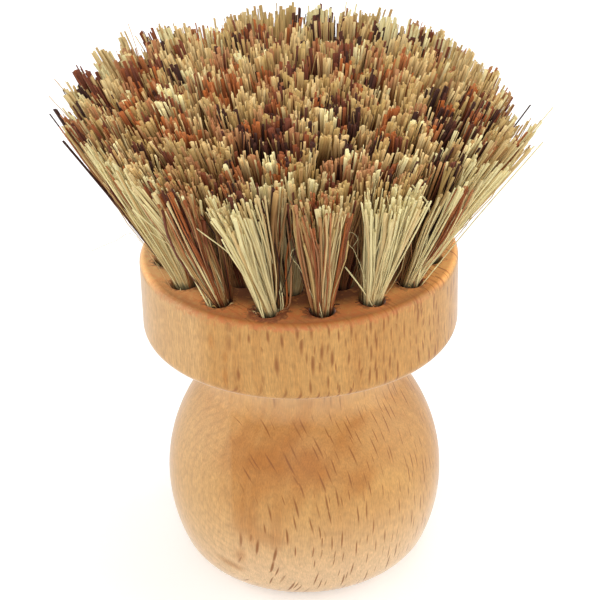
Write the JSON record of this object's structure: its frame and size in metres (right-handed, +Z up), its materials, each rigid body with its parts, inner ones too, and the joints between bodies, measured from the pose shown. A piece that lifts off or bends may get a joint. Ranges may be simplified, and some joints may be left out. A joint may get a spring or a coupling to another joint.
{
  "type": "palm brush",
  "caption": "Palm brush for pots: turned beech ball handle with a finger groove and a flat collar that carries splayed tufts of stiff plant fibre, trimmed flat.",
  "frame": {"origin": "centre of the standing flat under the ball", "axes": "+Z up along the turned axis towards the bristles; -Y is the front as pictured"},
  "size_m": [0.088, 0.0871, 0.0955],
  "materials": {
    "beech": "fine sanded beech, raw and satin",
    "plant_fibre": "stiff mixed plant fibre, matt, straw to dark brown",
    "staple_wire": "drawn steel wire"
  },
  "bodies": {
    "root": {"handle": "beech", "tuft_staples": "staple_wire", "centre_tuft": "plant_fibre", "inner_tuft_01": "plant_fibre", "inner_tuft_02": "plant_fibre", "inner_tuft_03": "plant_fibre", "inner_tuft_04": "plant_fibre", "inner_tuft_05": "plant_fibre", "inner_tuft_06": "plant_fibre", "middle_tuft_01": "plant_fibre", "middle_tuft_02": "plant_fibre", "middle_tuft_03": "plant_fibre", "middle_tuft_04": "plant_fibre", "middle_tuft_05": "plant_fibre", "middle_tuft_06": "plant_fibre", "middle_tuft_07": "plant_fibre", "middle_tuft_08": "plant_fibre", "middle_tuft_09": "plant_fibre", "middle_tuft_10": "plant_fibre", "middle_tuft_11": "plant_fibre", "outer_tuft_01": "plant_fibre", "outer_tuft_02": "plant_fibre", "outer_tuft_03": "plant_fibre", "outer_tuft_04": "plant_fibre", "outer_tuft_05": "plant_fibre", "outer_tuft_06": "plant_fibre", "outer_tuft_07": "plant_fibre", "outer_tuft_08": "plant_fibre", "outer_tuft_09": "plant_fibre", "outer_tuft_10": "plant_fibre", "outer_tuft_11": "plant_fibre", "outer_tuft_12": "plant_fibre", "outer_tuft_13": "plant_fibre", "outer_tuft_14": "plant_fibre", "outer_tuft_15": "plant_fibre", "outer_tuft_16": "plant_fibre"}
  },
  "joints": []
}
